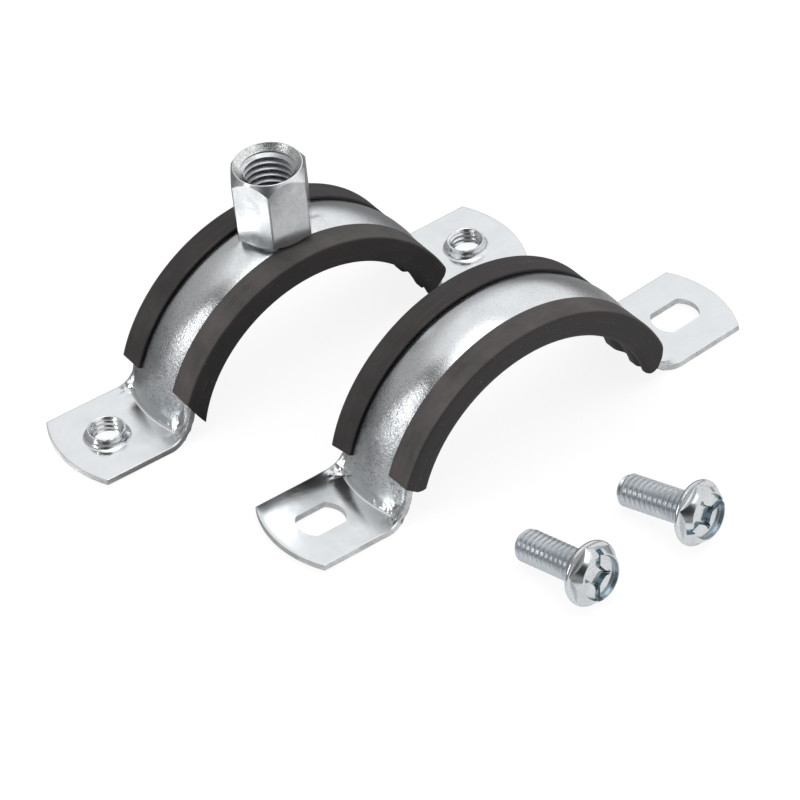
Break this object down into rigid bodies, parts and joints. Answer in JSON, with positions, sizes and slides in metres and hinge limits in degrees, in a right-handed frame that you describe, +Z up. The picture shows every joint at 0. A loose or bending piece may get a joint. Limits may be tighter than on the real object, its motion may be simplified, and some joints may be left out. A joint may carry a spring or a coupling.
{
  "type": "pipe strap clamp",
  "caption": "Rubber-lined pipe clamp in two halves laid out with their screws: one half has a welded hexagon nut and threaded ear collars, the other slotted ears.",
  "frame": {"origin": "on the ground, below the middle of everything that lies on it", "axes": "+X along the straps, from the left ears to the right ears; +Y from the screws towards the half with the nut; +Z up, along the nut's thread"},
  "size_m": [0.111, 0.102, 0.0412],
  "materials": {
    "zinc": "bright zinc plating on pressed steel",
    "rubber": "matt black moulded rubber"
  },
  "bodies": {
    "root": {"boss_half": "zinc", "boss_liner": "rubber", "boss_nut": "zinc", "plain_half": "zinc", "plain_liner": "rubber", "screw_1": "zinc", "screw_2": "zinc"}
  },
  "joints": []
}
